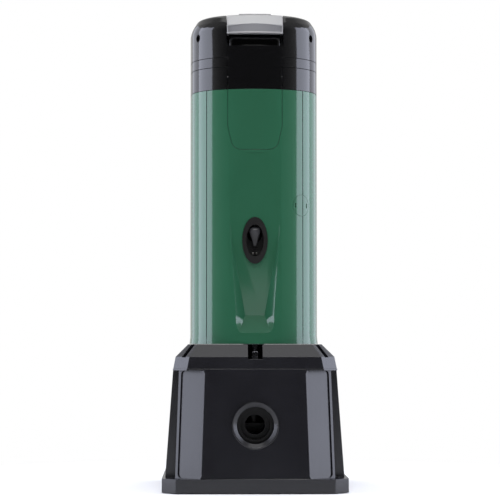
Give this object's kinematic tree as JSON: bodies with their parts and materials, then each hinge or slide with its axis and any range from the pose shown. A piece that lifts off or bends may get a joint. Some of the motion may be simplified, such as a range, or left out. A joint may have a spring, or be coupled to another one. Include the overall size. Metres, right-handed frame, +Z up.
{
  "type": "electronic water booster pump on docking base",
  "caption": "Tall rounded-square water booster pump with a tilting display, standing on a flared docking base with a threaded port at the back and front.",
  "frame": {"origin": "on the floor, under the middle of the dock", "axes": "+Z up, -Y the back with the delivery port and the cable outlet, +Y the front with the suction port"},
  "size_m": [0.356, 0.392, 0.9313],
  "materials": {
    "dock_plastic": "satin moulded black plastic",
    "cover_green": "glossy moulded dark green plastic",
    "head_black": "glossy moulded black plastic",
    "display_silver": "silver lacquered plastic",
    "screen_dark": "dark liquid-crystal panel",
    "lens_clear": "clear plastic window",
    "key_rubber": "soft silicone key",
    "trim_black": "fine-textured black plastic",
    "seal_rubber": "black rubber",
    "water_plastic": "glass-filled plastic",
    "stage_plastic": "engineering plastic",
    "stainless": "stainless steel",
    "black_screw": "blackened steel",
    "cast_aluminium": "cast aluminium",
    "laminations": "stacked steel laminations",
    "bearing_steel": "ground bearing steel",
    "brass": "turned brass",
    "vessel_paint": "blue enamel",
    "board_green": "solder mask on glass laminate",
    "capacitor_sleeve": "sleeved aluminium can"
  },
  "bodies": {
    "dock": {"dock_shell": "dock_plastic", "dock_deck": "dock_plastic", "dock_base_plate": "trim_black", "dock_pads": "seal_rubber", "delivery_port_rim": "dock_plastic", "delivery_elbow": "water_plastic", "suction_port_rim": "dock_plastic", "suction_elbow": "water_plastic", "check_valve_seat": "brass", "check_valve_cage": "brass", "check_valve_spring": "stainless"},
    "pump_unit": {"wrap_cover": "cover_green", "rear_cover": "cover_green", "hatch_frame": "trim_black", "cable_outlet": "trim_black", "cable_gland": "trim_black", "gland_screws": "stainless", "service_cap_seat": "trim_black", "head_lower_band": "head_black", "head_middle_band": "head_black", "head_crown": "head_black", "head_screws": "black_screw", "spine_panel": "head_black", "display_pivot_pin": "stainless", "chassis": "cast_aluminium", "delivery_spigot": "stainless", "suction_spigot": "stainless", "spigot_seals": "seal_rubber", "pump_casing": "stainless", "diffusers": "stage_plastic", "motor_bracket": "cast_aluminium", "shaft_seal": "seal_rubber", "motor_shell": "cast_aluminium", "motor_cap": "cast_aluminium", "motor_stator": "laminations", "upper_bearing": "bearing_steel", "lower_bearing": "bearing_steel", "expansion_vessel": "vessel_paint", "vessel_air_valve": "brass", "pressure_sensor": "brass", "heat_sink": "cast_aluminium", "electronics_tray": "stainless", "board_posts": "brass", "inverter_board": "board_green", "capacitors": "capacitor_sleeve"},
    "poppet": {"check_valve_poppet": "stage_plastic"},
    "stud": {"locking_stud": "black_screw"},
    "display": {"display_module": "display_silver", "display_bezel": "display_silver", "display_screen": "screen_dark", "display_lens": "lens_clear"},
    "key_1": {"display_key_1": "key_rubber"},
    "key_2": {"display_key_2": "key_rubber"},
    "key_3": {"display_key_3": "key_rubber"},
    "key_4": {"display_key_4": "key_rubber"},
    "cap": {"service_cap": "cover_green"},
    "hatch": {"service_hatch": "cover_green"},
    "rotor": {"motor_rotor": "laminations", "pump_shaft": "stainless", "impellers": "stage_plastic"}
  },
  "joints": [
    {"name": "pump_lift", "type": "slide", "parent": "dock", "child": "pump_unit", "axis": [0, 0, 1], "range_m": [0, 0.12]},
    {"name": "poppet_lift", "type": "slide", "parent": "dock", "child": "poppet", "axis": [0, 0, 1], "range_m": [0, 0.01], "stiffness_N_per_m": 200, "springref_m": -0.005, "deforming": ["check_valve_spring"]},
    {"name": "stud_turn", "type": "hinge", "parent": "dock", "child": "stud", "pos_m": [0, -0.133, 0.262], "axis": [0, 0, 1], "range_deg": [0, 90]},
    {"name": "display_tilt", "type": "hinge", "parent": "pump_unit", "child": "display", "pos_m": [0, 0.084, 0.909], "axis": [-1, 0, 0], "range_deg": [0, 70]},
    {"name": "cap_turn", "type": "hinge", "parent": "pump_unit", "child": "cap", "pos_m": [0.09063, -0.11472, 0.552], "axis": [0.6561, -0.7547, 0], "range_deg": [0, 90]},
    {"name": "hatch_off", "type": "slide", "parent": "pump_unit", "child": "hatch", "axis": [0, -1, 0], "range_m": [0, 0.06]},
    {"name": "rotor_spin", "type": "hinge", "parent": "pump_unit", "child": "rotor", "pos_m": [0, 0, 0.5], "axis": [0, 0, 1], "continuous": true},
    {"name": "key_1_press", "type": "slide", "parent": "display", "child": "key_1", "axis": [0, 0, -1], "range_m": [0, 0.001], "stiffness_N_per_m": 600, "springref_m": -0.0005},
    {"name": "key_2_press", "type": "slide", "parent": "display", "child": "key_2", "axis": [0, 0, -1], "range_m": [0, 0.001], "stiffness_N_per_m": 600, "springref_m": -0.0005},
    {"name": "key_3_press", "type": "slide", "parent": "display", "child": "key_3", "axis": [0, 0, -1], "range_m": [0, 0.001], "stiffness_N_per_m": 600, "springref_m": -0.0005},
    {"name": "key_4_press", "type": "slide", "parent": "display", "child": "key_4", "axis": [0, 0, -1], "range_m": [0, 0.001], "stiffness_N_per_m": 600, "springref_m": -0.0005}
  ]
}
